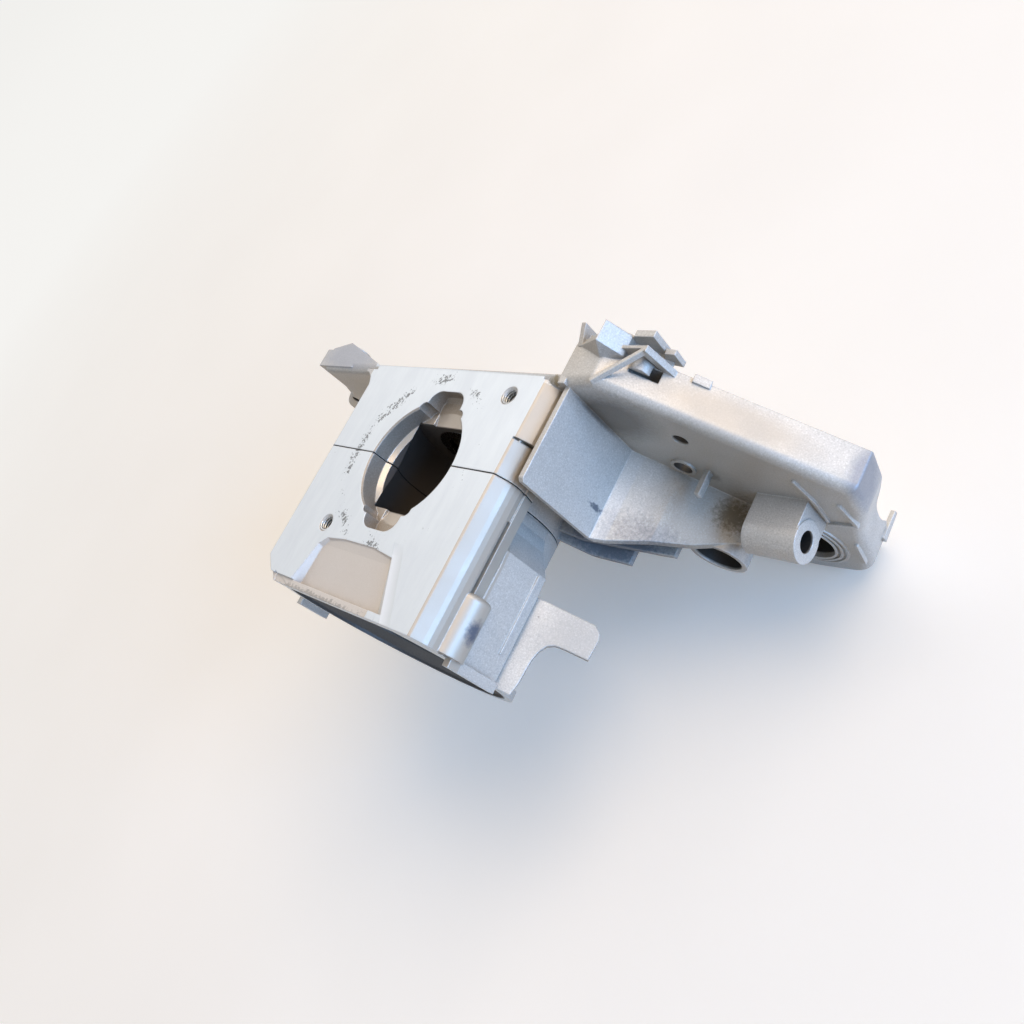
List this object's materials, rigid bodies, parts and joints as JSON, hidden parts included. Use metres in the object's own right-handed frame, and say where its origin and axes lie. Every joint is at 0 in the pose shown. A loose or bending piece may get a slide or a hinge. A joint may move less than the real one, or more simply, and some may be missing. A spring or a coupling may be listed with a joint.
{
  "type": "engine crankcase",
  "caption": "Split cast engine crankcase: flat cylinder seat with a central bore, open round clutch bell at the front, shallow fan tray with duct walls, tube and boss behind.",
  "frame": {"origin": "where the crankshaft's axis crosses the split between the two halves", "axes": "+X along the split towards the fan duct, +Y along the crankshaft from the clutch to the flywheel side, +Z out of the cylinder seat"},
  "size_m": [0.2158, 0.0997, 0.1052],
  "materials": {
    "cast_alloy": "cast, machined on the seats",
    "gasket": "matte fibre sheet",
    "fastener_steel": "zinc plated",
    "bearing_steel": "ground",
    "pressed_steel": "pressed",
    "seal_rubber": "matte"
  },
  "bodies": {
    "case": {"clutch_side_half": "cast_alloy", "flywheel_side_half": "cast_alloy", "crankcase_gasket": "gasket", "case_screw_1": "fastener_steel", "case_screw_2": "fastener_steel", "case_screw_3": "fastener_steel", "case_screw_4": "fastener_steel", "case_screw_5": "fastener_steel", "dowel_pin_1": "fastener_steel", "dowel_pin_2": "fastener_steel", "clutch_bearing_outer_ring": "bearing_steel", "clutch_seal_case": "pressed_steel", "clutch_seal_lip": "seal_rubber", "flywheel_bearing_outer_ring": "bearing_steel", "flywheel_seal_case": "pressed_steel", "flywheel_seal_lip": "seal_rubber"},
    "clutch_inner": {"clutch_bearing_inner_ring": "bearing_steel"},
    "clutch_ball_set": {"clutch_bearing_cage": "pressed_steel", "clutch_bearing_balls": "bearing_steel"},
    "flywheel_inner": {"flywheel_bearing_inner_ring": "bearing_steel"},
    "flywheel_ball_set": {"flywheel_bearing_cage": "pressed_steel", "flywheel_bearing_balls": "bearing_steel"}
  },
  "joints": [
    {"name": "clutch_ring_spin", "type": "hinge", "parent": "case", "child": "clutch_inner", "pos_m": [0, -0.021, 0], "axis": [0, 1, 0], "continuous": true},
    {"name": "clutch_cage_spin", "type": "hinge", "parent": "case", "child": "clutch_ball_set", "pos_m": [0, -0.021, 0], "axis": [0, 1, 0], "continuous": true},
    {"name": "flywheel_ring_spin", "type": "hinge", "parent": "case", "child": "flywheel_inner", "pos_m": [0, 0.021, 0], "axis": [0, 1, 0], "continuous": true},
    {"name": "flywheel_cage_spin", "type": "hinge", "parent": "case", "child": "flywheel_ball_set", "pos_m": [0, 0.021, 0], "axis": [0, 1, 0], "continuous": true}
  ],
  "couplings": [
    {"joint": "clutch_cage_spin", "follows": "clutch_ring_spin", "ratio": 0.38},
    {"joint": "flywheel_cage_spin", "follows": "flywheel_ring_spin", "ratio": 0.38}
  ]
}
